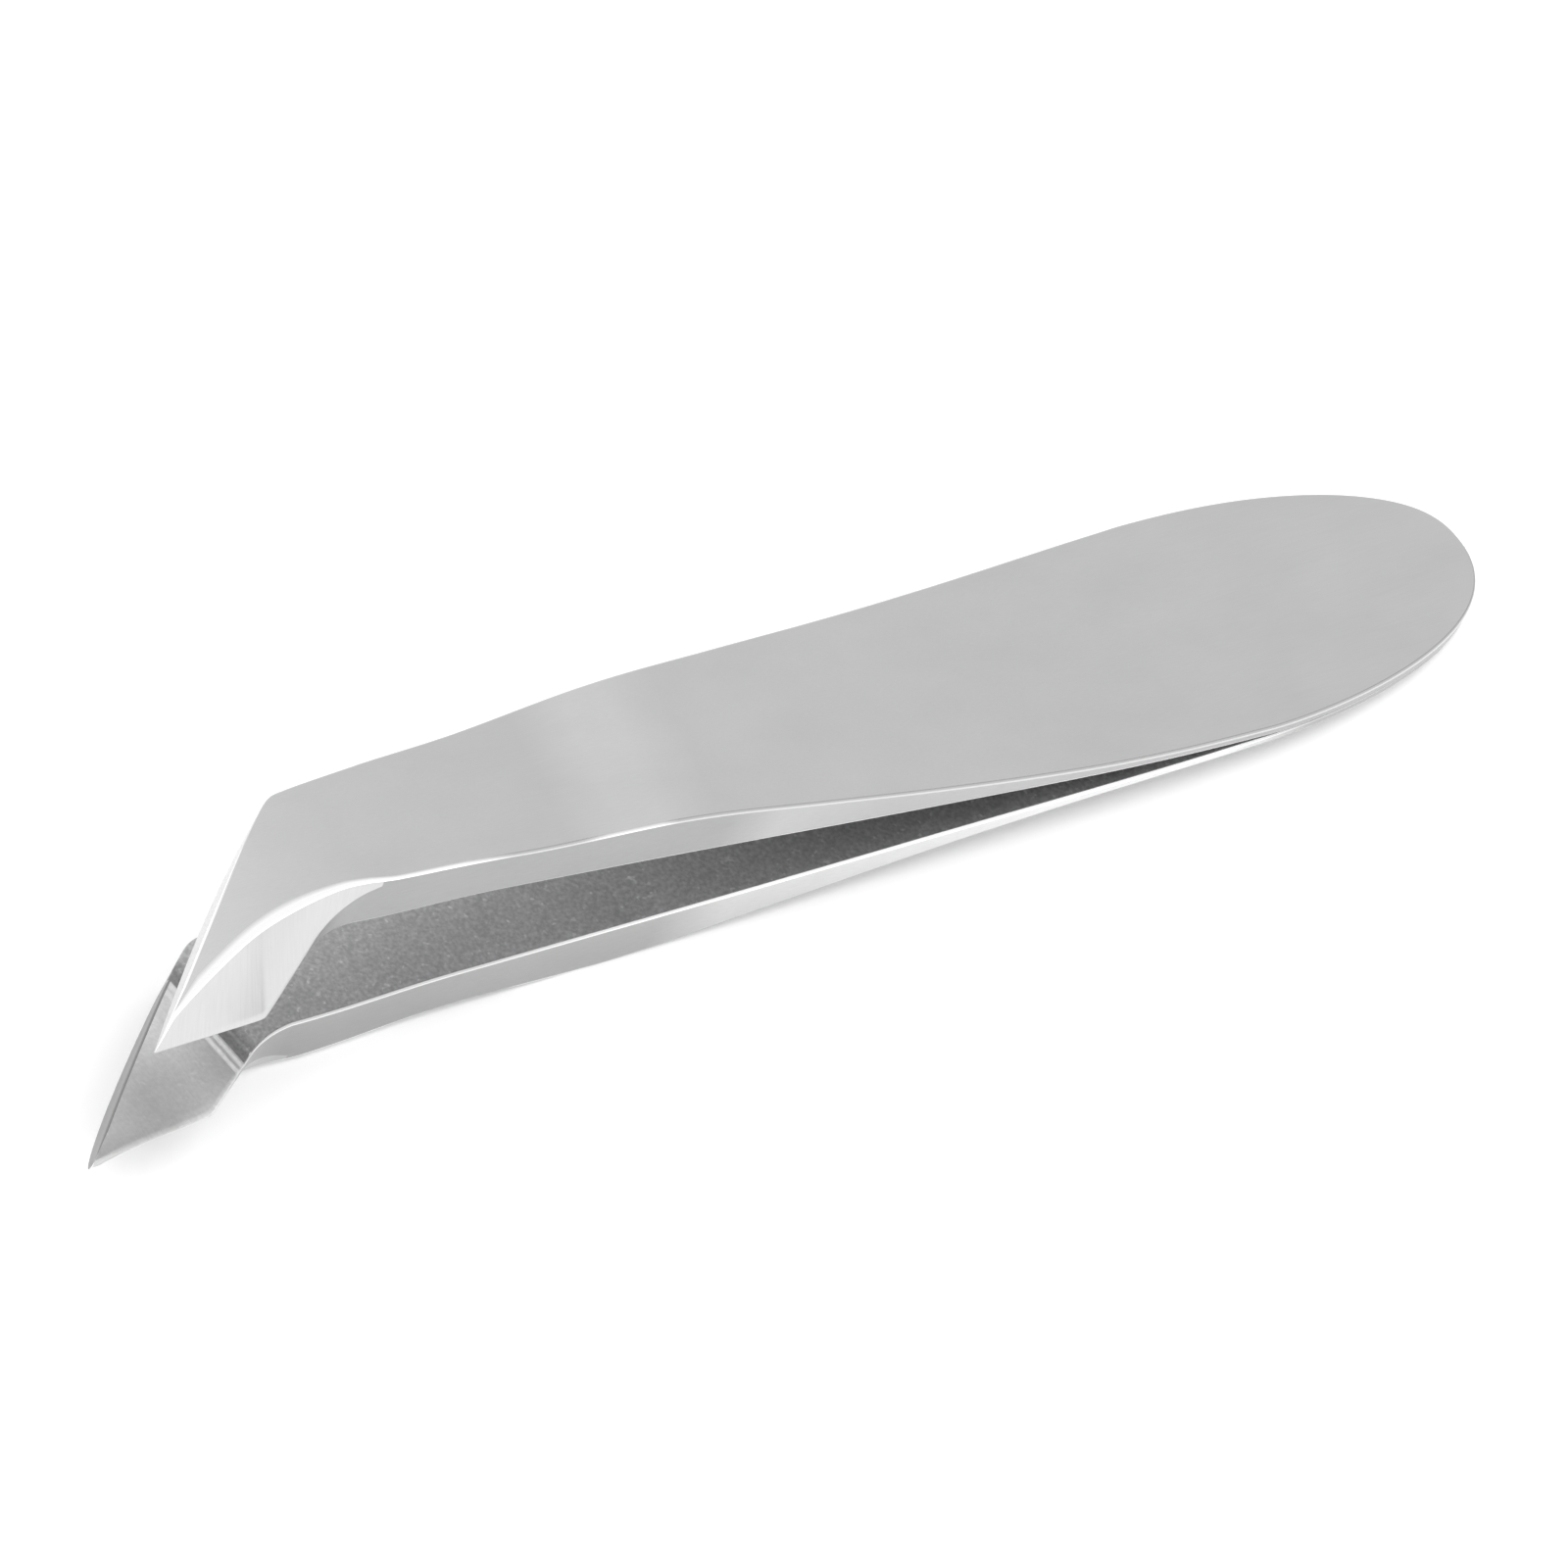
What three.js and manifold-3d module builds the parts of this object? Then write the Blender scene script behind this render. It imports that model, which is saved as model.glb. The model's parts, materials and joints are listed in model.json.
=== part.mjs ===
// Slant tweezers with a hooked, nipper-shaped beak: two mirror-image spring-steel arms
// welded together flat at a broad rounded heel.
//
// Millimetres, +Z up. The part lies as it would on a table: the heel and the ridge of the
// lower arm touch z = 0, the beaks point to -X and overhang the -Y side.
//
// Inside the arm group, X is the distance from the heel towards the beak, +Y is the side
// that the beak overhangs and z = 0 is the plane where the two arms meet.

import * as THREE from 'three';
import { mergeVertices } from 'three/addons/utils/BufferGeometryUtils.js';
import Module from 'manifold-3d';

// ---- driving dimensions, in mm ----

const LENGTH = 95;                 // heel to beak point
const HEEL_HALF_WIDTH = 7;         // widest half width
const HEEL_ROUND = 19;             // length of the rounded heel end
const HEEL_SQUARENESS = 2.3;       // 2 would make the heel end an ellipse
const FLEXURE = 24;                // where the thin springy stretch bends
const FLEXURE_SPLIT = 0.3;         // clearance between heel plate and blade
const SEAM_GAP = 0.05;             // clearance between the two heel plates
const EDGE_BEVEL = 0.15;           // broken edge along the outer face

const GRIP_START = 84.1;           // foot of the step up to the gripping pad
const GRIP_STEP = 0.9;             // length of that sloped step
const GRIP_SLOPE = 0.0556;         // pad height above the mid-plane per mm from the flexure

const BEAK_CORNER = { along: 82, side: -2.95 };  // far end of the slanted front edge
const BEAK_POINT = { along: LENGTH, side: 7 };
const BEAK_HEEL = { along: 87.7, side: 6.85 };   // near end of the gripping edge
const FLARE = { start: 70, end: 79, width: 0.24 };        // faint widening before the neck
const NECK = { start: 79.8, radius: 7, slope: 0.577 };    // near edge swings out to the beak
const BEVEL = { start: 80.7, side: 3.12, radius: 26, slope: 0.385 };   // its upper boundary
const BEVEL_START = 79;            // where the ground outer bevel leaves the near edge
const BEVEL_LAND = 0.12;           // thickness left at the gripping edge
const POINT_WIDTH = 0.12;          // width left at the very point

const WELD = { radius: 1.7, halfHeight: 0.24, clearance: 0.08, alongs: [7, 13] };

// Half width behind the rounded heel: [distance from the heel, half width].
const HALF_WIDTH = [[HEEL_ROUND, HEEL_HALF_WIDTH], [24, 6.85], [42, 5.75], [62, 4.35], [81, 3.05]];

// Height of an arm's outer face above the mid-plane. The ridge is a short flat facet in
// line with the heel's rim, so the part rests on both.
const HEEL_HEIGHT = 0.5;
const RIDGE = { start: 58.5, end: 61.5, height: 5.3 };
const REST_SLOPE = (RIDGE.height - HEEL_HEIGHT) / RIDGE.start;
const OUTER_HEIGHT = [
  [0, HEEL_HEIGHT], [10, 0.53], [16, 0.56], [24, 0.84], [30, 1.24], [36, 1.88], [42, 2.7], [50, 3.98],
  [RIDGE.start, RIDGE.height], [RIDGE.end, HEEL_HEIGHT + REST_SLOPE * RIDGE.end],
  [68, 5.74], [76, 6.54], [88, 7.5], [LENGTH, 8],
];
const NOSE_START = 90;             // where the outer face rolls down to the beak's point

// Height of an arm's inner face above the mid-plane.
const INNER_HEIGHT = [
  [16.5, SEAM_GAP / 2], [24, 0.28], [30, 0.56], [40, 1.18], [60, 2.56], [80, 3.73], [LENGTH, 4.42],
];

// ---- helpers ----

// Smooth monotone curve through [x, y] points (cubic Hermite, limited slopes).
function curveThrough(points) {
  const secants = points.slice(1).map(([x, y], i) => (y - points[i][1]) / (x - points[i][0]));
  const slopes = points.map((_, i) => {
    if (i === 0) return secants[0];
    if (i === points.length - 1) return secants[i - 1];
    const [before, after] = [secants[i - 1], secants[i]];
    return before * after <= 0 ? 0 : (2 * before * after) / (before + after);
  });
  return (x) => {
    if (x <= points[0][0]) return points[0][1];
    const last = points.length - 1;
    if (x >= points[last][0]) return points[last][1];
    const i = points.findIndex(([right]) => x < right) - 1;
    const span = points[i + 1][0] - points[i][0];
    const t = (x - points[i][0]) / span;
    const [t2, t3] = [t * t, t * t * t];
    return points[i][1] * (2 * t3 - 3 * t2 + 1) + points[i + 1][1] * (3 * t2 - 2 * t3)
      + span * (slopes[i] * (t3 - 2 * t2 + t) + slopes[i + 1] * (t3 - t2));
  };
}

const faceHeight = curveThrough(OUTER_HEIGHT);
const innerHeight = curveThrough(INNER_HEIGHT);
const bodyHalfWidth = curveThrough(HALF_WIDTH);

function halfWidth(along) {
  if (along >= HEEL_ROUND) return bodyHalfWidth(along);
  const back = (HEEL_ROUND - along) / HEEL_ROUND;
  return HEEL_HALF_WIDTH * Math.max(0, 1 - back * back) ** (1 / HEEL_SQUARENESS);
}

// Rise of a circular arc from its tangent point until it reaches a slope, then straight on.
function sweptRise(run, { radius, slope }) {
  const turned = (radius * slope) / Math.hypot(1, slope);
  const arc = THREE.MathUtils.clamp(run, 0, turned);
  return radius - Math.sqrt(radius * radius - arc * arc) + slope * Math.max(run - turned, 0);
}

// Side position of the slanted front edge, or of the plain far edge behind it.
function farEdge(along) {
  if (along <= BEAK_CORNER.along) return -halfWidth(along);
  const slant = (BEAK_POINT.side - BEAK_CORNER.side) / (BEAK_POINT.along - BEAK_CORNER.along);
  return BEAK_CORNER.side + slant * (along - BEAK_CORNER.along);
}

// Near edge: plain with a faint flare, then out to the beak's heel, then the gripping edge.
function nearEdge(along) {
  const flared = THREE.MathUtils.smoothstep(along, FLARE.start, FLARE.end);
  const plain = halfWidth(along) + FLARE.width * flared;
  if (along <= NECK.start) return plain;
  const neck = halfWidth(NECK.start) + FLARE.width + sweptRise(along - NECK.start, NECK);
  const t = (along - BEAK_HEEL.along) / (BEAK_POINT.along - BEAK_HEEL.along);
  const grip = THREE.MathUtils.lerp(BEAK_HEEL.side, BEAK_POINT.side + POINT_WIDTH, t);
  return Math.min(neck, grip);
}

// Underside of an arm: the inner face, then the step and the raised gripping pad.
function gripHeight(along) {
  const pad = (along - FLEXURE) * GRIP_SLOPE;
  const step = THREE.MathUtils.clamp((along - GRIP_START) / GRIP_STEP, 0, 1);
  return THREE.MathUtils.lerp(innerHeight(along), pad, step);
}

// Outer face, rolled down in a quarter ellipse over the beak's nose.
function outerHeight(along) {
  if (along <= NOSE_START) return faceHeight(along);
  const t = (along - NOSE_START) / (LENGTH - NOSE_START);
  const point = gripHeight(LENGTH) + 2 * BEVEL_LAND;
  return point + (faceHeight(along) - point) * Math.sqrt(1 - t * t);
}

// Height at which the ground outer bevel meets the near edge.
function bevelFoot(along) {
  const broken = outerHeight(along) - EDGE_BEVEL;
  const ground = gripHeight(along) + BEVEL_LAND;
  const t = THREE.MathUtils.clamp((along - BEVEL_START) / (BEAK_HEEL.along - BEVEL_START), 0, 1);
  return ground + (broken - ground) * (1 - t) ** 1.15;
}

// Closed skin over a row of matching outlines; each outline runs anticlockwise seen from +X.
// The end caps fan out from the outline's second point.
function loft(outlines) {
  const count = outlines[0].length;
  const faces = [];
  for (let row = 0; row + 1 < outlines.length; row += 1) {
    for (let i = 0; i < count; i += 1) {
      const [a, b] = [row * count + i, row * count + ((i + 1) % count)];
      faces.push(a, b, b + count, a, b + count, a + count);
    }
  }
  const lastRow = (outlines.length - 1) * count;
  for (let i = 2; i < count; i += 1) {
    const [p, q] = [i, (i + 1) % count];
    faces.push(1, q, p, lastRow + 1, lastRow + p, lastRow + q);
  }
  const corners = outlines.flat().flatMap((point) => point.toArray());
  const geometry = new THREE.BufferGeometry();
  geometry.setAttribute('position', new THREE.Float32BufferAttribute(corners, 3));
  geometry.setIndex(faces);
  return geometry;
}

// Cross-section of the upper arm at one distance from the heel.
function armOutline(along) {
  const [far, near] = [farEdge(along), nearEdge(along)];
  const [outer, inner] = [outerHeight(along), gripHeight(along)];
  const span = near - far;
  const bevel = Math.min(EDGE_BEVEL, span / 4);
  const ground = BEVEL.side + sweptRise(along - BEVEL.start, BEVEL);
  const edge = near - bevel;
  const leaf = along <= BEVEL_START ? edge : THREE.MathUtils.clamp(ground, far + span / 3, edge);
  const pointAt = (side, height) => new THREE.Vector3(along, side, height);
  return [
    pointAt(far, inner),
    pointAt((far + near) / 2, inner),
    pointAt(near, inner),
    pointAt(near, bevelFoot(along)),
    pointAt(leaf, outer),
    pointAt((far + bevel + leaf) / 2, outer),
    pointAt(far + bevel, outer),
    pointAt(far, Math.max(outer - EDGE_BEVEL, inner + BEVEL_LAND)),
  ];
}

// ---- the arm's two stretches ----

const range = (start, end, count) => (
  Array.from({ length: count + 1 }, (_, i) => THREE.MathUtils.lerp(start, end, i / count))
);

// Heel plate: stations crowd towards the rounded end.
function upperHeelShape() {
  const end = FLEXURE - FLEXURE_SPLIT / 2;
  const rounded = range(0.06, 1, 16).map((t) => HEEL_ROUND * (1 - Math.cos((t * Math.PI) / 2)));
  return loft([...rounded, ...range(HEEL_ROUND, end, 5).slice(1)].map(armOutline));
}

// Blade: from the flexure to the beak's point, with stations on every corner of its outline.
function upperBladeShape() {
  const start = FLEXURE + FLEXURE_SPLIT / 2;
  const stations = [
    ...range(start, RIDGE.start, 18), ...range(RIDGE.end, FLARE.start, 4),
    ...range(FLARE.start, BEVEL_START, 6), ...range(NECK.start, BEAK_CORNER.along, 4),
    ...range(BEAK_CORNER.along, GRIP_START, 4), ...range(GRIP_START + GRIP_STEP, BEAK_HEEL.along, 5),
    ...range(BEAK_HEEL.along, NOSE_START, 3), ...range(NOSE_START, LENGTH, 8),
  ];
  return loft([...new Set(stations)].map(armOutline));
}

// The same solid below the mid-plane.
function mirrored(geometry) {
  const copy = geometry.clone().scale(1, 1, -1);
  const index = copy.index.array;
  for (let i = 0; i < index.length; i += 3) [index[i + 1], index[i + 2]] = [index[i + 2], index[i + 1]];
  return copy;
}

// Lens-shaped spot weld on the seam between the heel plates.
function weldShape(along, grown) {
  const [radius, half] = [WELD.radius + grown, WELD.halfHeight + grown];
  return new THREE.SphereGeometry(1, 24, 10).scale(radius, radius, half).translate(along, 0, 0);
}

// ---- solids ----

const wasm = await Module();
wasm.setup();

function toSolid(geometry) {
  const bare = geometry.clone();
  bare.deleteAttribute('normal');
  bare.deleteAttribute('uv');
  const merged = mergeVertices(bare, 1e-5);
  return new wasm.Manifold(new wasm.Mesh({
    numProp: 3,
    vertProperties: merged.attributes.position.array,
    triVerts: new Uint32Array(merged.index.array),
  }));
}

function toGeometry(solid) {
  const { vertProperties, triVerts } = solid.getMesh();
  const geometry = new THREE.BufferGeometry();
  geometry.setAttribute('position', new THREE.BufferAttribute(vertProperties, 3));
  geometry.setIndex(new THREE.BufferAttribute(triVerts, 1));
  geometry.computeVertexNormals();
  return geometry;
}

// A heel plate with a shallow pocket around each spot weld.
function pocketed(plate) {
  const pockets = WELD.alongs.map((along) => toSolid(weldShape(along, WELD.clearance)));
  return toGeometry(pockets.reduce((solid, pocket) => solid.subtract(pocket), toSolid(plate)));
}

const steel = (roughness) => new THREE.MeshStandardMaterial({ color: 0xc4c4c2, roughness, metalness: 1 });

function named(name, geometry, roughness) {
  const mesh = new THREE.Mesh(geometry, steel(roughness));
  mesh.name = name;
  return mesh;
}

// ---- assembly ----

const tweezers = new THREE.Group();
const arms = new THREE.Group();
const heelPlate = upperHeelShape();
const blade = upperBladeShape();

arms.add(named('upper_heel', pocketed(heelPlate), 0.38));
arms.add(named('lower_heel', pocketed(mirrored(heelPlate)), 0.38));
arms.add(named('upper_blade', blade, 0.38));
arms.add(named('lower_blade', mirrored(blade), 0.38));
arms.add(named('weld_rear', weldShape(WELD.alongs[0], 0), 0.6));
arms.add(named('weld_front', weldShape(WELD.alongs[1], 0), 0.6));

// Tilt until the ridge facet of the lower arm lies level, then set it on z = 0 and
// centre the part's box on X and Y. The beak end turns to -X.
arms.rotation.y = -Math.atan(REST_SLOPE);
const turned = new THREE.Group();
turned.rotation.z = Math.PI;
turned.add(arms);
tweezers.add(turned);
tweezers.updateMatrixWorld(true);
const box = new THREE.Box3().setFromObject(tweezers, true);
const centre = box.getCenter(new THREE.Vector3());
turned.position.set(-centre.x, -centre.y, -box.min.z);

export default tweezers;
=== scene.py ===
"""Slant tweezers with hooked beaks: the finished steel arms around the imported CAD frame.

Shapes are worked out in millimetres in the arm's own space: ALONG is the distance from the
heel towards the beak, SIDE is positive on the side that the beak overhangs, and HEIGHT is
measured from the plane between the two arms. place_in_frame() turns that into the frame.
"""

import json

import bpy
import numpy as np
from mathutils import Matrix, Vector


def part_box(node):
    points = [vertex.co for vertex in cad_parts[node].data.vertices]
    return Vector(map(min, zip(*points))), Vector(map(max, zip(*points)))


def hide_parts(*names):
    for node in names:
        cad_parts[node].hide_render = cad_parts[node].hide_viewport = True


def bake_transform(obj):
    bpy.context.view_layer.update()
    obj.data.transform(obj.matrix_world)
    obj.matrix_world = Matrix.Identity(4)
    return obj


MM = 0.001

# ---- the arm's driving dimensions, in mm ----

LENGTH = 95.0
HEEL_HALF_WIDTH = 7.0
HEEL_ROUND = 19.0
HEEL_SQUARENESS = 2.3       # 2 would be an ellipse
HEEL_SKEW = 0.35            # the very end of the heel leans this much to the far side,
HEEL_SKEW_REACH = 2.2       # and the lean dies away over a few times this distance
FLEXURE = 24.0

HALF_WIDTH = [(HEEL_ROUND, HEEL_HALF_WIDTH), (24, 6.85), (42, 5.75), (62, 4.35), (81, 3.05)]
HEEL_HEIGHT = 0.5
RIDGE_START, RIDGE_END, RIDGE_HEIGHT = 58.5, 61.5, 5.3
REST_SLOPE = (RIDGE_HEIGHT - HEEL_HEIGHT) / RIDGE_START
OUTER_HEIGHT = [
    (0, HEEL_HEIGHT), (10, 0.53), (16, 0.56), (24, 0.84), (30, 1.24), (36, 1.88), (42, 2.7),
    (50, 3.98), (RIDGE_START, RIDGE_HEIGHT), (RIDGE_END, HEEL_HEIGHT + REST_SLOPE * RIDGE_END),
    (68, 5.74), (76, 6.54), (88, 7.5), (LENGTH, 8.0),
]
INNER_HEIGHT = [
    (0, 0.012), (16.5, 0.02), (24, 0.28), (30, 0.56), (40, 1.18), (60, 2.56), (80, 3.73),
    (LENGTH, 4.42),
]

BEAK_START = 76.0
BEAK_CORNER = (82.0, -2.95)
BEAK_POINT = (LENGTH, 7.0)
BEAK_HEEL = (87.95, 6.85)
FRONT_BULGE = 0.2
CORNER_SOFTNESS = 0.45
GRIP_CORNER_SOFTNESS = 0.12
NECK_START, NECK_RADIUS, NECK_SLOPE = 79.8, 7.0, 0.577
FLARE_START, FLARE_END, NECK_FLARE = 70.0, 79.0, 0.24
BEVEL_START, BEVEL_SIDE, BEVEL_RADIUS, BEVEL_SLOPE = 80.7, 3.12, 26.0, 0.36
BEVEL_LEAVES_EDGE = 79.0
BEVEL_LAND = 0.1            # height of the foot of the bevel above the gripping edge
FOOT_CURVE = 1.15           # power of the foot's descent to the gripping edge
FOOT_SHARE = 0.1            # share of the side wall that the bevel takes where it starts
NOSE_START = 86.5

EDGE_ROUND = 0.16
BAND_GROWTH = [(78, 87, 0.22), (87, LENGTH, 0.06)]      # start, end and extra reach
CROWN = 0.03
INNER_EDGE = 0.14
STEP_SKEW, STEP_PIVOT = 0.1, 5.0
GROOVE = [(82.9, 0), (83.05, 0.1), (83.8, 0.16)]        # how far it is cut into the arm
GRIP_START, GRIP_END = 83.8, 84.25
LIP = [(84.3, 0), (84.5, 0.11), (84.65, 0.11), (84.85, 0.22), (87.8, 0)]
GRIP_SLOPE = 0.0556
GRIP_STRIP = 0.6
GRIP_STRIP_DROP = 0.05

SEAM_STEPS = np.array([0, 0.3, 1])                  # across the broken far inner edge
STRIP_STEPS = np.array([1, 0.9, 0.5, 0.12, 0])      # across the strip at the near inner edge
WALL_POINTS = 5             # points across each side wall
RIM_POINTS = 9              # points across the rounding of the far edge
# Strips of the far rounding on the beak's front take the polished steel; the shine, growing along
# the beak, paints a highlight on them.
RIM_POLISHED_WITH_HIGHLIGHT = 6            # strips of that rounding that are polished on the beak's front
RIM_SHINE_START, RIM_SHINE_END, RIM_SHINE = 85.5, 92.0, 0.5


def curve_through(points, softness):
    """A smooth curve through (x, y) points: cubic pieces whose slope at each point is the
    harmonic mean of the slopes either side, then averaged over a bell-shaped window."""
    x, y = np.array(points, float).T
    secant = np.diff(y) / np.diff(x)
    slope = np.concatenate([secant[:1], np.zeros(len(x) - 2), secant[-1:]])
    same = secant[:-1] * secant[1:] > 0
    slope[1:-1][same] = (2 * secant[:-1] * secant[1:])[same] / (secant[:-1] + secant[1:])[same]
    step = 0.05
    fine = np.arange(x[0], x[-1] + step, step)
    i = np.clip(np.searchsorted(x, fine, side="right") - 1, 0, len(x) - 2)
    span = x[i + 1] - x[i]
    t = (fine - x[i]) / span
    cubic = (
        y[i] * (2 * t**3 - 3 * t**2 + 1) + y[i + 1] * (3 * t**2 - 2 * t**3)
        + span * (slope[i] * (t**3 - 2 * t**2 + t) + slope[i + 1] * (t**3 - t**2))
    )
    reach = int(4 * softness / step)
    window = np.exp(-0.5 * (np.arange(-reach, reach + 1) * step / softness) ** 2)
    padded = np.concatenate([
        cubic[0] + secant[0] * step * np.arange(-reach, 0), cubic,
        cubic[-1] + secant[-1] * step * np.arange(1, reach + 1),
    ])
    soft = np.convolve(padded, window / window.sum(), mode="valid")
    return lambda along: np.interp(along, fine, soft)


face_height = curve_through(OUTER_HEIGHT, 0.45)
inner_height = curve_through(INNER_HEIGHT, 0.7)
body_half_width = curve_through(HALF_WIDTH, 1.5)


def larger(a, b, softness):
    """The larger of a and b, with the corner where they cross rounded off."""
    return 0.5 * (a + b + np.hypot(a - b, softness))


def smaller(a, b, softness):
    """The smaller of a and b, with the corner where they cross rounded off."""
    return 0.5 * (a + b - np.hypot(a - b, softness))


def fade(along, start, end):
    """0 before start, 1 after end, and a smooth S between them."""
    t = np.clip((along - start) / (end - start), 0, 1)
    return t * t * (3 - 2 * t)


def swept_rise(run, radius, slope):
    """Rise of a circular arc from its tangent point until it reaches a slope, then straight on."""
    turned = radius * slope / np.hypot(1, slope)
    arc = np.clip(run, 0, turned)
    return radius - np.sqrt(radius**2 - arc**2) + slope * np.maximum(run - turned, 0)


def half_width(along):
    """A slightly squared ellipse over the rounded heel, then the arm's own taper."""
    back = np.clip((HEEL_ROUND - along) / HEEL_ROUND, 0, 1)
    heel = HEEL_HALF_WIDTH * (1 - back**2) ** (1 / HEEL_SQUARENESS)
    return np.where(along < HEEL_ROUND, heel, body_half_width(along))


def heel_lean(along):
    """Sideways shift of the outline, felt only over the last few millimetres of the heel."""
    return -HEEL_SKEW * np.exp(-np.maximum(along, 0) / HEEL_SKEW_REACH)


def far_edge(along):
    """The plain edge, cut off by the slanted front edge, which is a shallow parabola."""
    run = BEAK_POINT[0] - BEAK_CORNER[0]
    t = (along - BEAK_CORNER[0]) / run
    front = BEAK_CORNER[1] + (BEAK_POINT[1] - BEAK_CORNER[1]) * t - 4 * FRONT_BULGE * t * (1 - t)
    plain = heel_lean(along) - half_width(along)
    return np.where(along < BEAK_START, plain, larger(plain, front, CORNER_SOFTNESS))


def near_edge(along):
    """The plain edge, swept out along a concave arc to the gripping edge of the beak."""
    flare = NECK_FLARE * fade(along, FLARE_START, FLARE_END)
    plain = half_width(along) + heel_lean(along) + flare
    start = half_width(np.array(NECK_START)) + NECK_FLARE
    neck = start + swept_rise(along - NECK_START, NECK_RADIUS, NECK_SLOPE)
    slant = (BEAK_POINT[1] - BEAK_HEEL[1]) / (BEAK_POINT[0] - BEAK_HEEL[0])
    grip = BEAK_HEEL[1] + slant * (along - BEAK_HEEL[0])
    return np.where(along < NECK_START, plain, smaller(neck, grip, GRIP_CORNER_SOFTNESS))


def bevel_top(along):
    """Side position of the virtual corner between the outer face and the ground bevel."""
    ground = BEVEL_SIDE + swept_rise(along - BEVEL_START, BEVEL_RADIUS, BEVEL_SLOPE)
    onset = fade(along, BEVEL_LEAVES_EDGE - 1, BEVEL_LEAVES_EDGE + 2.5)
    return near_edge(along) * (1 - onset) + ground * onset


def band_setback(along):
    """How far the polished rounding reaches from the virtual corner."""
    return EDGE_ROUND + sum(extra * fade(along, start, end) for start, end, extra in BAND_GROWTH)


def grip_height(along, side=None):
    """The inner face, a shallow groove, a step to the gripping pad, and two small rises that
    level out along the pad. The groove and the step run across the arm a little askew.
    Without a side it is the height at the near edge."""
    side = near_edge(along) if side is None else side
    local = along + STEP_SKEW * (side - STEP_PIVOT)
    groove = np.interp(local, *zip(*GROOVE))
    step = fade(local, GRIP_START, GRIP_END)
    pad = (along - FLEXURE) * GRIP_SLOPE + np.interp(local, *zip(*LIP))
    return (1 - step) * (inner_height(along) + groove) + step * pad


def outer_height(along):
    """The outer face, rolled down in a quarter ellipse over the beak's nose."""
    t = np.clip((along - NOSE_START) / (LENGTH - NOSE_START), 0, 1)
    point = grip_height(np.array(LENGTH)) + 2 * BEVEL_LAND
    return point + (face_height(along) - point) * np.sqrt(1 - t**2)


def bevel_foot(along):
    """Height of the ground bevel at the near edge: from the outer face down to a narrow land
    above the flat of the gripping pad."""
    left = np.clip((BEAK_HEEL[0] - along) / (BEAK_HEEL[0] - BEVEL_LEAVES_EDGE), 0, 1)
    ground = (along - FLEXURE) * GRIP_SLOPE + BEVEL_LAND
    inside = inner_height(np.minimum(along, BEVEL_LEAVES_EDGE + 1))
    wall = outer_height(along) - EDGE_ROUND - inside - INNER_EDGE
    plain = outer_height(along) - EDGE_ROUND - FOOT_SHARE * wall
    return ground + (plain - ground) * left**FOOT_CURVE


# ---- the arm as one closed surface ----

TIP = LENGTH - 0.03
INNER_ZONE, EDGE_ZONE, WALL_ZONE, LEAF_ZONE = range(4)
BAND_ZONE, FACE_ZONE, PAD_ZONE, FRONT_ZONE = range(4, 8)


def stations():
    """Distances from the heel: crowded at the rounded heel and at the beak, even between."""
    heel = HEEL_ROUND * (1 - np.cos(np.linspace(0.004, np.pi / 2, 72)))
    body = np.linspace(HEEL_ROUND, BEAK_START, 150)
    beak = np.linspace(BEAK_START, NOSE_START, 140)
    step = np.linspace(GROOVE[0][0] - 0.4, LIP[-1][0] + 0.9, 110)
    nose = NOSE_START + (TIP - NOSE_START) * np.sin(np.linspace(0, np.pi / 2, 110))
    return np.unique(np.concatenate([heel, body, beak, step, nose]).round(3))


def edge_turn(edge, along):
    """How much longer a step along the edge is than a step along the arm."""
    return np.hypot(1, (edge(along + 0.02) - edge(along - 0.02)) / 0.04)


def rim_distance(along, side):
    """Distance in from the outline, measured square to it: first-order for the curve of the
    heel, and the sideways distance over the edge's turn for the rest."""
    power = HEEL_SQUARENESS
    back = (HEEL_ROUND - along) / HEEL_ROUND
    across = np.abs(side - heel_lean(along)) / HEEL_HALF_WIDTH
    slope = np.hypot(2 * back / HEEL_ROUND, power * across ** (power - 1) / HEEL_HALF_WIDTH)
    heel = (1 - back**2 - across**power) / np.maximum(slope, 1e-9)
    from_far = (side - far_edge(along)) / edge_turn(far_edge, along)
    from_near = (near_edge(along) - side) / edge_turn(near_edge, along)
    plain = np.minimum(from_far, from_near)
    return np.maximum(np.where(along < HEEL_ROUND, heel, plain), 0)


def round_drop(distance, size):
    """Fall of a rounded edge of that size: a parabola tangent to the face and to the wall."""
    return size * (1 - np.sqrt(np.clip(distance / size, 0, 1))) ** 2


def inner_rows(along, far, near):
    """Side and height of the inner face from far to near, with broken edges. On the pad the
    last strip before the gripping edge falls away a little."""
    width = near - far
    on_pad = fade(along, GRIP_END, GRIP_END + 1.5)
    strip = INNER_EDGE + (GRIP_STRIP - INNER_EDGE) * on_pad
    left = far + np.minimum(INNER_EDGE, 0.1 * width) * SEAM_STEPS
    right = near - np.minimum(strip, 0.4 * width) * STRIP_STEPS
    start = far + np.minimum(1.6 * INNER_EDGE, 0.15 * width)
    end = near - np.minimum(strip + 0.6 * INNER_EDGE, 0.45 * width)
    middle = start + (end - start) * np.linspace(0, 1, 16)
    side = np.concatenate([left, middle, right], 1)
    seam = INNER_EDGE * (0.12 + 0.88 * fade(along, 6, 26) - 0.7 * fade(along, 80, 85))
    height = grip_height(along, side) + round_drop(rim_distance(along, side), seam)
    in_strip = np.clip((side - (near - strip)) / strip, 0, 1)
    return side, height + GRIP_STRIP_DROP * on_pad * in_strip


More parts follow.
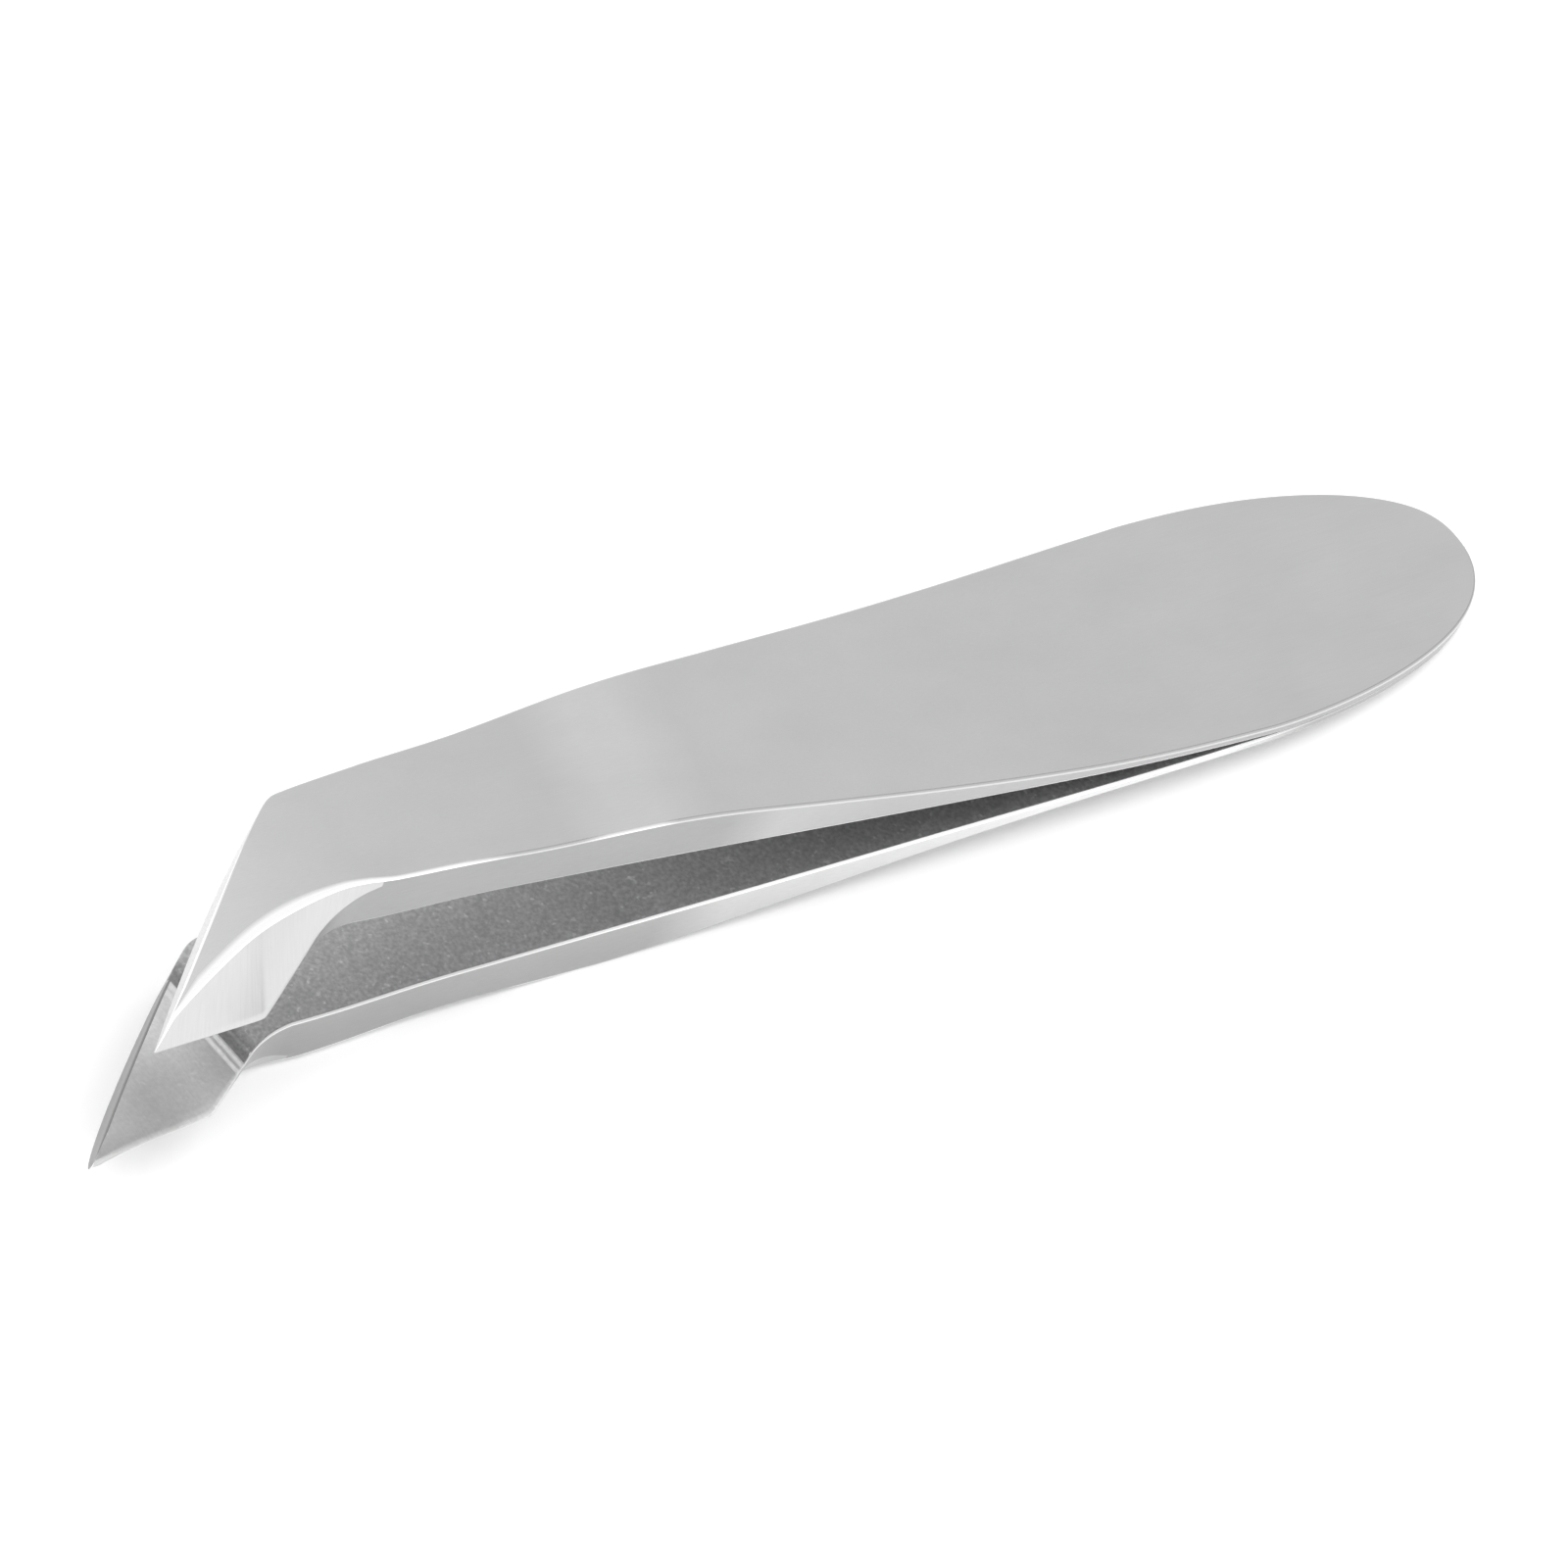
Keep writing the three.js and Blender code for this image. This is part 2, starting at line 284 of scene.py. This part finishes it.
def arm_rows():
    """The arm's section at every station as a closed loop: inner face from far to near, near
    wall, ground bevel, polished band, outer face from near to far, far rounding, far wall.
    The band is a quadratic curve whose middle point is the corner that it rounds off.
    Besides the three coordinates it gives each strip's zone and each point's shine, the weight of
    the polish and of the highlight painted on it: 1 at the bevel's side of the band, 0 at the
    face's, and growing along the front edge's rounding."""
    along = stations()[:, None]
    near = near_edge(along)
    far = np.minimum(far_edge(along), near - 0.012)
    outer, foot = outer_height(along), bevel_foot(along)
    inner_side, inner_z = inner_rows(along, far, near)

    corner = np.maximum(bevel_top(along), far + 0.12 * (near - far))
    room = corner - far
    reach, drop = near - corner, outer - foot
    length = np.maximum(np.hypot(reach, drop), 1e-6)
    setback = np.minimum(band_setback(along), 0.9 * length)
    turn = edge_turn(far_edge, along)
    heel = along < HEEL_ROUND
    across = np.minimum(setback * np.where(heel, turn, 1), 0.5 * room)
    t = np.linspace(0, 1, 12)
    band_side = corner - (1 - t) ** 2 * across + t**2 * setback * reach / length
    band_z = outer - t**2 * setback * drop / length
    fall = round_drop(rim_distance(along, band_side), EDGE_ROUND)
    band_z = np.where(heel, outer - fall, band_z)
    u = np.linspace(0, 1, 12)[1:]
    leaf_side = band_side[:, -1:] + (near - band_side[:, -1:]) * u
    leaf_z = band_z[:, -1:] + (foot - band_z[:, -1:]) * u

    rim = np.minimum(EDGE_ROUND * turn, 0.4 * room)
    rim_side = far + rim * np.linspace(0, 1, RIM_POINTS) ** 2
    start, end = far + 1.02 * rim, corner - 1.05 * across
    face_side = start + (end - start) * np.linspace(0, 1, 24)
    plain_side = np.concatenate([rim_side, face_side], 1)
    crown = (2 * (plain_side - far) / (near - far) - 1) ** 2 * np.clip(room / 8, 0, 1)
    crown = crown * (plain_side < 0.5 * (far + near))
    plain_z = outer - CROWN * crown - round_drop(rim_distance(along, plain_side), EDGE_ROUND)

    w = np.linspace(0, 1, WALL_POINTS + 2)[1:-1]
    near_wall_z = inner_z[:, -1:] + (foot - inner_z[:, -1:]) * w
    far_wall_z = plain_z[:, :1] + (inner_z[:, :1] - plain_z[:, :1]) * w
    sides = [
        inner_side, near + 0 * w, leaf_side[:, ::-1], band_side[:, ::-1], plain_side[:, ::-1],
        far + 0 * w,
    ]
    heights = [
        inner_z, near_wall_z, leaf_z[:, ::-1], band_z[:, ::-1], plain_z[:, ::-1], far_wall_z,
    ]
    zones = np.repeat(
        [INNER_ZONE, EDGE_ZONE, WALL_ZONE, LEAF_ZONE, BAND_ZONE, FACE_ZONE, FRONT_ZONE],
        [
            inner_side.shape[1] - len(STRIP_STEPS), len(STRIP_STEPS) - 1, WALL_POINTS + 1,
            len(u), len(t) - 1, plain_side.shape[1], WALL_POINTS + 1,
        ],
    )
    side, height = np.concatenate(sides, 1), np.concatenate(heights, 1)
    # Shine: the weight of the polish and of the highlight painted on it in the materials.
    shine = np.zeros(side.shape)
    band = inner_side.shape[1] + WALL_POINTS + len(u)
    shine[:, band:band + len(t)] = np.linspace(1, 0, len(t))
    rim_points = WALL_POINTS + RIM_POINTS - 1
    shine[:, -rim_points:] = RIM_SHINE * fade(along, RIM_SHINE_START, RIM_SHINE_END)
    return np.broadcast_to(along, side.shape), side, height, zones, shine


def strip_zones(zones, along, strip, strips):
    """The zone of every quad: that of its strip, except where the strip changes its finish
    along the arm. The pad's broken far edge belongs to the front wall."""
    zone = np.broadcast_to(zones, along.shape)
    zone = np.where((zone == FRONT_ZONE) & (along < BEAK_CORNER[0]), WALL_ZONE, zone)
    zone = np.where((zone == LEAF_ZONE) & (along < BEVEL_LEAVES_EDGE), WALL_ZONE, zone)
    # The front edge's rounding on the beak gets the polished band's steel and its painted
    # highlight.
    rim = (strip >= strips - WALL_POINTS - 1 - RIM_POLISHED_WITH_HIGHLIGHT) & (zone == FACE_ZONE)
    zone = np.where(rim & (along > RIM_SHINE_START), BAND_ZONE, zone)
    # On the lower arm this gives the pad's broken far edge the painted shade of the front.
    seam = strip < len(SEAM_STEPS) - 1
    zone = np.where(seam & (along > GRIP_END + 0.5), FRONT_ZONE, zone)
    return np.where((zone <= EDGE_ZONE) & (along > GRIP_END), PAD_ZONE, zone)


def arm_mesh(name, direction):
    """One arm, with direction 1 above the middle plane and -1 mirrored below it. Rings of
    section points are joined into quads, and each end is closed by a fan round its centre."""
    along, side, height, zones, shine = arm_rows()
    rings, count = along.shape
    places = np.stack([along, side, direction * height], 2)
    ends = np.stack([places[0].mean(0), places[-1].mean(0)])
    places = np.concatenate([places.reshape(-1, 3), ends])

    i, j = np.meshgrid(np.arange(rings - 1), np.arange(count), indexing="ij")
    k = (j + 1) % count
    quads = np.stack([i * count + j, i * count + k, (i + 1) * count + k, (i + 1) * count + j], 2)
    quads = quads.reshape(-1, 4)
    middle = 0.5 * (along[i, j] + along[i + 1, j])
    zone = strip_zones(zones, middle, j, count).reshape(-1)
    loop = np.arange(count)
    after = (loop + 1) % count
    last = (rings - 1) * count
    heel_fan = np.stack([np.full(count, rings * count), after, loop], 1)
    tip_fan = np.stack([np.full(count, rings * count + 1), last + loop, last + after], 1)
    fans = np.concatenate([heel_fan, tip_fan])
    if direction > 0:
        quads, fans = quads[:, ::-1], fans[:, ::-1]

    mesh = bpy.data.meshes.new(name)
    corners = np.concatenate([quads.reshape(-1), fans.reshape(-1)]).astype(np.int32)
    sizes = np.concatenate([np.full(len(quads), 4), np.full(len(fans), 3)])
    starts = np.concatenate([[0], np.cumsum(sizes)[:-1]]).astype(np.int32)
    mesh.vertices.add(len(places))
    mesh.loops.add(len(corners))
    mesh.polygons.add(len(sizes))
    mesh.vertices.foreach_set("co", place_in_frame(places).astype(np.float32).ravel())
    mesh.loops.foreach_set("vertex_index", corners)
    mesh.polygons.foreach_set("loop_start", starts)
    indices = np.concatenate([zone, np.full(len(fans), WALL_ZONE)]).astype(np.int32)
    mesh.polygons.foreach_set("material_index", indices)
    mesh.polygons.foreach_set("use_smooth", np.ones(len(sizes), bool))
    arm_place = mesh.attributes.new("arm_place", "FLOAT_VECTOR", "POINT")
    arm_place.data.foreach_set("vector", places.astype(np.float32).ravel())
    # The shine goes to the materials as polish with a painted highlight.
    polish = mesh.attributes.new("arm_polish_and_highlight", "FLOAT", "POINT")
    polish.data.foreach_set("value", np.append(shine, [0, 0]).astype(np.float32))
    mesh.update(calc_edges=True)
    mesh.validate()
    obj = bpy.data.objects.new(name, mesh)
    bpy.context.scene.collection.objects.link(obj)
    return obj


# ---- scene ----

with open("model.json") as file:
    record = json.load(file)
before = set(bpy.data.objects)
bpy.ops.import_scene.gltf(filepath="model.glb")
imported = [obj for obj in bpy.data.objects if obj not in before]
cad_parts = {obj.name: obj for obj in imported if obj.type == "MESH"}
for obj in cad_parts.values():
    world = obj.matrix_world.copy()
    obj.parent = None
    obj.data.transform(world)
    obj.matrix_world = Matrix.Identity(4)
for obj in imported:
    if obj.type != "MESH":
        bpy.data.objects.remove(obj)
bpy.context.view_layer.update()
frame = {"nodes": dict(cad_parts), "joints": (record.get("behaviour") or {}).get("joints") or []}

PIVOT = np.array(frame["joints"][0]["pos_m"]) / MM
TILT = np.arctan(REST_SLOPE)
heel_low, heel_high = (np.array(corner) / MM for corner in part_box("lower_heel"))
MIDDLE = 0.5 * (heel_low[1] + heel_high[1])


def turn_into_frame(vector):
    """A direction in arm space turned into the frame: beaks towards -X, pitched at rest."""
    along, side, height = np.moveaxis(np.asarray(vector, float), -1, 0)
    cos, sin = np.cos(TILT), np.sin(TILT)
    turned = [-(along * cos - height * sin), -side, along * sin + height * cos]
    return np.stack(turned, -1)


def place_in_frame(points):
    """Arm space in mm to the frame in metres: turned about the joint and moved to it."""
    origin = np.array([PIVOT[0], MIDDLE, PIVOT[2]])
    return (origin + turn_into_frame(np.asarray(points) - [FLEXURE, 0, 0])) * MM


# ---- materials ----

BROAD_RATES = (0.16, 0.3, 0.3)      # noise cycles per mm along, across and through the arm
PIT_RATES = (4.5, 4.5, 4.5)
SPECK_RATES = (2.7, 2.7, 2.7)
# Shine paints a highlight on the polished band as well as its polish.
POLISH_AND_HIGHLIGHT_FULL = 0.4                   # shine at which the polish is complete
RELIEF = 0.00001                    # depth of the grain, in metres


def steel(
    name, colour, roughness, grain, streak, bump, mottle, pits=0.0, tones=((0, 1),), skew=0.0,
    dull=1.0,
):
    """Bare steel whose fine grain is noise stretched along one direction of the arm.

    grain is how fast the noise changes along, across and through the arm, per mm; streak is
    how much it shifts tone and roughness; mottle is a broad faint change of tone; pits is the
    depth of small dark pits and pale specks. tones are (distance from the heel, tone) pairs of
    painted light and shade: how light the steel is made along the arm where it looks lit or
    shaded, and skew slants them across it. dull is the tone where the polish of the band, with
    its painted highlight, has faded into the outer face."""
    material = bpy.data.materials.new(name)
    material.use_nodes = True
    nodes, links = material.node_tree.nodes, material.node_tree.links
    shader = nodes["Principled BSDF"]
    shader.inputs["Metallic"].default_value = 1.0
    place = nodes.new("ShaderNodeAttribute")
    place.attribute_name = "arm_place"

    def noise(rates, detail=3.0):
        """Noise over the place on the arm, at so many cycles per mm each way."""
        stretch = nodes.new("ShaderNodeVectorMath")
        stretch.operation = "MULTIPLY"
        stretch.inputs[1].default_value = rates
        links.new(place.outputs["Vector"], stretch.inputs[0])
        texture = nodes.new("ShaderNodeTexNoise")
        texture.inputs["Scale"].default_value = 1.0
        texture.inputs["Detail"].default_value = detail
        links.new(stretch.outputs[0], texture.inputs["Vector"])
        return texture.outputs["Fac"]

    def ranged(value, low, high, start=0.25, end=0.75):
        """A value between start and end moved in proportion to between low and high."""
        spread = nodes.new("ShaderNodeMapRange")
        spread.inputs["From Min"].default_value = start
        spread.inputs["From Max"].default_value = end
        spread.inputs["To Min"].default_value = low
        spread.inputs["To Max"].default_value = high
        links.new(value, spread.inputs["Value"])
        return spread.outputs["Result"]

    def times(a, b):
        """The product of two values."""
        product = nodes.new("ShaderNodeMath")
        product.operation = "MULTIPLY"
        links.new(a, product.inputs[0])
        links.new(b, product.inputs[1])
        return product.outputs[0]

    lines = noise(grain)
    broad = noise(BROAD_RATES, 4.0)
    tone = times(ranged(broad, 1 - mottle, 1 + mottle), ranged(lines, 1 - streak, 1 + streak))
    height = lines
    if pits > 0:
        height = noise(PIT_RATES)
        tone = times(tone, ranged(height, 1 - pits, 1 + pits, 0.35, 0.7))
        tone = times(tone, ranged(noise(SPECK_RATES, 1.0), 1, 1 + 2 * pits, 0.66, 0.74))
    # Painted highlight: the band's tone rises from dull to full with its shine.
    if dull < 1:
        polish = nodes.new("ShaderNodeAttribute")
        polish.attribute_name = "arm_polish_and_highlight"
        tone = times(tone, ranged(polish.outputs["Fac"], dull, 1, 0, POLISH_AND_HIGHLIGHT_FULL))
    # Painted light and shade: the tone follows the listed ramp along the arm, slanted across it by
    # skew.
    if len(tones) > 1:
        run = nodes.new("ShaderNodeVectorMath")
        run.operation = "DOT_PRODUCT"
        run.inputs[1].default_value = (1 / LENGTH, skew / LENGTH, 0)
        links.new(place.outputs["Vector"], run.inputs[0])
        ramp = nodes.new("ShaderNodeValToRGB")
        stops = ramp.color_ramp.elements
        while len(stops) < len(tones):
            stops.new(0.5)
        for stop, (along, level) in zip(stops, tones):
            stop.position = along / LENGTH
            stop.color = (level, level, level, 1)
        links.new(run.outputs["Value"], ramp.inputs["Fac"])
        tone = times(tone, ramp.outputs["Color"])
    paint = nodes.new("ShaderNodeVectorMath")
    paint.operation = "SCALE"
    paint.inputs[0].default_value = colour
    links.new(tone, paint.inputs["Scale"])
    links.new(paint.outputs[0], shader.inputs["Base Color"])
    rough = ranged(lines, roughness * (1 - streak), roughness * (1 + streak))
    links.new(rough, shader.inputs["Roughness"])
    relief = nodes.new("ShaderNodeBump")
    relief.inputs["Strength"].default_value = bump
    relief.inputs["Distance"].default_value = RELIEF
    links.new(height, relief.inputs["Height"])
    links.new(relief.outputs["Normal"], shader.inputs["Normal"])
    return material


LENGTHWISE = (0.5, 26.0, 26.0)
CROSSWISE = (22.0, 0.5, 0.5)
GRAINLESS = (3.0, 3.0, 3.0)

shared_finishes = {
    # Blasted inner face; its tones paint the shade along it, darkest in the groove and at the step
    # to the pad.
    INNER_ZONE: steel(
        "blasted_steel", (0.56, 0.56, 0.565), 0.5, GRAINLESS, 0.05, 0.4, 0.08, 0.16,
        tones=[(42, 0.94), (58, 1), (80, 0.92), (83, 0.9), (83.2, 0.55)], skew=STEP_SKEW),
    # Broken inner edge, near white as a painted highlight, with painted shade towards the heel and
    # past the ridge.
    EDGE_ZONE: steel(
        "edge_steel_painted_highlight", (0.98, 0.98, 0.98), 0.2, LENGTHWISE, 0.02, 0.04, 0.0,
        tones=[(16, 0.55), (22, 1), (50, 1), (58, 0.9), (68, 0.72)]),
    LEAF_ZONE: steel("ground_steel", (0.55, 0.55, 0.55), 0.3, CROSSWISE, 0.05, 0.2, 0.02),
    # Polished rounding, near white as a painted highlight; its tones paint lighter stretches past
    # the ridge and on the beak, with painted shade between.
    BAND_ZONE: steel(
        "polished_steel_painted_highlight", (0.98, 0.98, 0.98), 0.15, LENGTHWISE, 0.02, 0.04, 0.0, dull=0.62,
        tones=[(60.2, 0.58), (61.2, 0.86), (64.5, 0.86), (66.2, 0.58), (70.5, 0.58), (74, 1)]),
    # Satin outer face; its tones paint the light across the ridge, slanted by skew, and a lighter
    # beak.
    FACE_ZONE: steel(
        "satin_steel", (0.53, 0.53, 0.533), 0.4, LENGTHWISE, 0.03, 0.12, 0.03,
        tones=[(56, 1), (60, 1.12), (62.5, 1.12), (66, 1), (80, 1.04), (92, 1.25)], skew=-0.25),
    # Gripping pad; its tones paint a lighter middle and painted shade towards the point.
    PAD_ZONE: steel(
        "gripping_steel", (0.68, 0.68, 0.68), 0.4, CROSSWISE, 0.05, 0.2, 0.06, 0.05,
        tones=[(85, 1.05), (87.4, 1.2), (90.1, 0.89), (95, 0.89)]),
}
upper_finishes = shared_finishes | {
    # Brushed wall; its tones paint it lighter as far as the ridge and shaded towards the beak.
    WALL_ZONE: steel(
        "brushed_steel", (0.53, 0.53, 0.533), 0.36, LENGTHWISE, 0.06, 0.15, 0.03,
        tones=[
            (0, 0.75), (20, 0.75), (28, 0.81), (46, 0.81), (53, 0.87), (56.5, 0.66), (80, 0.64),
        ]),
    FRONT_ZONE: steel("front_steel", (0.52, 0.52, 0.52), 0.3, LENGTHWISE, 0.03, 0.1, 0.03),
}
lower_finishes = shared_finishes | {
    # Lower ground bevel: a slightly darker copy of the ground steel, as painted shade.
    LEAF_ZONE: steel("ground_steel_painted_shade_below", (0.5, 0.5, 0.5), 0.3, CROSSWISE, 0.05, 0.2, 0.02),
    # Lower wall: the same steel as the upper wall made lighter as painted light, with painted
    # shade at the heel's end and towards the beak.
    WALL_ZONE: steel(
        "lower_wall_steel_painted_light_and_shade", (0.79, 0.79, 0.79), 0.36, LENGTHWISE, 0.06, 0.15, 0.03,
        tones=[(16, 0.5), (22, 1), (34, 1), (48, 0.84), (53, 0.8), (57.5, 0.54), (84, 0.46)]),
    # Lower beak's front: the front steel at about half its grey, as painted shade.
    FRONT_ZONE: steel("lower_front_steel_painted_shade", (0.28, 0.28, 0.28), 0.45, LENGTHWISE, 0.03, 0.1, 0.03),
}

# ---- the two arms ----

for name, direction, finishes in (("upper", 1, upper_finishes), ("lower", -1, lower_finishes)):
    arm = arm_mesh(f"{name}_arm_steel", direction)
    for zone in sorted(finishes):
        arm.data.materials.append(finishes[zone])
    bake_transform(arm)
    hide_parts(f"{name}_heel", f"{name}_blade")

# ---- the welds between the heels ----

def weld_finish():
    """Dull grey steel whose roughness varies with a fine even noise."""
    material = bpy.data.materials.new("weld_metal")
    material.use_nodes = True
    nodes, links = material.node_tree.nodes, material.node_tree.links
    shader = nodes["Principled BSDF"]
    shader.inputs["Metallic"].default_value = 1.0
    shader.inputs["Base Color"].default_value = (0.42, 0.42, 0.43, 1)
    place = nodes.new("ShaderNodeTexCoord")
    noise = nodes.new("ShaderNodeTexNoise")
    noise.inputs["Scale"].default_value = 3000
    spread = nodes.new("ShaderNodeMapRange")
    spread.inputs["To Min"].default_value = 0.35
    spread.inputs["To Max"].default_value = 0.6
    links.new(place.outputs["Object"], noise.inputs["Vector"])
    links.new(noise.outputs["Fac"], spread.inputs["Value"])
    links.new(spread.outputs["Result"], shader.inputs["Roughness"])
    return material


weld_metal = weld_finish()
for name in ("weld_rear", "weld_front"):
    frame["nodes"][name].data.materials.clear()
    frame["nodes"][name].data.materials.append(weld_metal)

# ---- floor, light and camera ----

FLOOR_REACH, FLOOR_HEIGHT = 3.0, -0.00003       # metres; just clear of the lower arm

floor_mesh = bpy.data.meshes.new("floor")
floor_signs = ((-1, -1), (1, -1), (1, 1), (-1, 1))
floor_corners = [(x * FLOOR_REACH, y * FLOOR_REACH, FLOOR_HEIGHT) for x, y in floor_signs]
floor_mesh.from_pydata(floor_corners, [], [(0, 1, 2, 3)])
floor = bpy.data.objects.new("floor", floor_mesh)
bpy.context.scene.collection.objects.link(floor)
pale = bpy.data.materials.new("pale_floor")
pale.use_nodes = True
pale_shader = pale.node_tree.nodes["Principled BSDF"]
pale_shader.inputs["Base Color"].default_value = (0.92, 0.92, 0.92, 1)
pale_shader.inputs["Roughness"].default_value = 0.8
pale_shader.inputs["Specular IOR Level"].default_value = 0.1
floor_mesh.materials.append(pale)

world = bpy.data.worlds.new("studio")
bpy.context.scene.world = world
world.use_nodes = True
world.node_tree.nodes["Background"].inputs["Color"].default_value = (1, 1, 1, 1)
world.node_tree.nodes["Background"].inputs["Strength"].default_value = 1.0


def placed(axes, origin):
    """The matrix of an object at origin whose own three axes are the rows of axes."""
    matrix = Matrix.Identity(4)
    for row in range(3):
        matrix[row][:3] = axes[:, row]
        matrix[row][3] = origin[row]
    return matrix


def softbox(name, towards, distance, size, power):
    """A square area light that far from the middle of the tweezers, facing it."""
    lamp = bpy.data.lights.new(name, "AREA")
    lamp.shape, lamp.size, lamp.energy = "SQUARE", size, power
    obj = bpy.data.objects.new(name, lamp)
    aim = turn_into_frame(np.array(towards, float))
    aim = aim / np.linalg.norm(aim)
    centre = place_in_frame([0.5 * LENGTH, 0, 0])
    right = np.cross([0.0, 1.0, 0.0], aim)
    right = right / np.linalg.norm(right)
    axes = np.stack([right, np.cross(aim, right), aim])
    obj.matrix_world = placed(axes, centre + distance * aim)
    obj.visible_glossy = False
    bpy.context.scene.collection.objects.link(obj)


softbox("near_softbox", (0.7, 0.3, 0.8), 0.9, 1.5, 7.0)
softbox("far_softbox", (-0.7, 0.1, 0.8), 0.9, 1.5, 6.0)

VIEW_RIGHT = np.array([-0.7326, 0.5685, 0.3742])
VIEW_DOWN = np.array([0.2337, 0.7265, -0.6462])
VIEW_FORWARD = np.array([-0.6393, -0.386, -0.6651])
VIEW_DISTANCE, SHIFT_RIGHT, SHIFT_DOWN = 833.3, 0.382, 0.86

middle = np.array([0.5 * LENGTH, 0, 0])
eye = middle - VIEW_DISTANCE * VIEW_FORWARD + SHIFT_RIGHT * VIEW_RIGHT + SHIFT_DOWN * VIEW_DOWN
camera = bpy.data.objects.new("camera", bpy.data.cameras.new("camera"))
camera.data.sensor_width = 36
camera.data.lens = 388.9
camera.data.clip_start, camera.data.clip_end = 0.05, 20
camera_axes = turn_into_frame(np.stack([VIEW_RIGHT, -VIEW_DOWN, -VIEW_FORWARD]))
camera.matrix_world = placed(camera_axes, place_in_frame(eye))
bpy.context.scene.collection.objects.link(camera)
bpy.context.scene.camera = camera
bpy.context.scene.view_settings.view_transform = "Standard"
